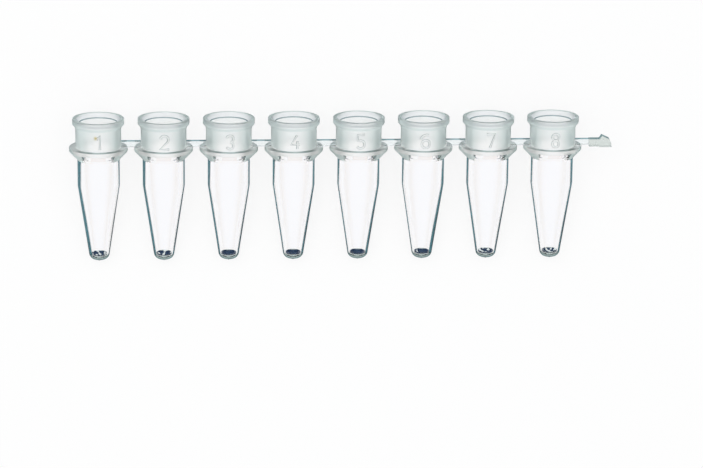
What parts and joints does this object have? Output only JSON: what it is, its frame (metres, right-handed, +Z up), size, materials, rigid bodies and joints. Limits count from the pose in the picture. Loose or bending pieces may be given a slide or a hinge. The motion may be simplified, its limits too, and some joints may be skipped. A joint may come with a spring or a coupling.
{
  "type": "pcr tube strip",
  "caption": "Strip of small conical reaction tubes with open collared mouths, joined side by side by a web that ends in a pull tab.",
  "frame": {"origin": "centre of the strip's bounding box at the surface it lies on", "axes": "+X along the row from the plain end to the tab, +Y towards the mouths, +Z up; the strip lies on its back, on its flange edges and tips"},
  "size_m": [0.0752, 0.0208, 0.0083],
  "materials": {
    "polypropylene": "clear polypropylene, glossy on the tube bodies and finely frosted on the necks"
  },
  "bodies": {
    "root": {"tube_strip": "polypropylene"}
  },
  "joints": []
}
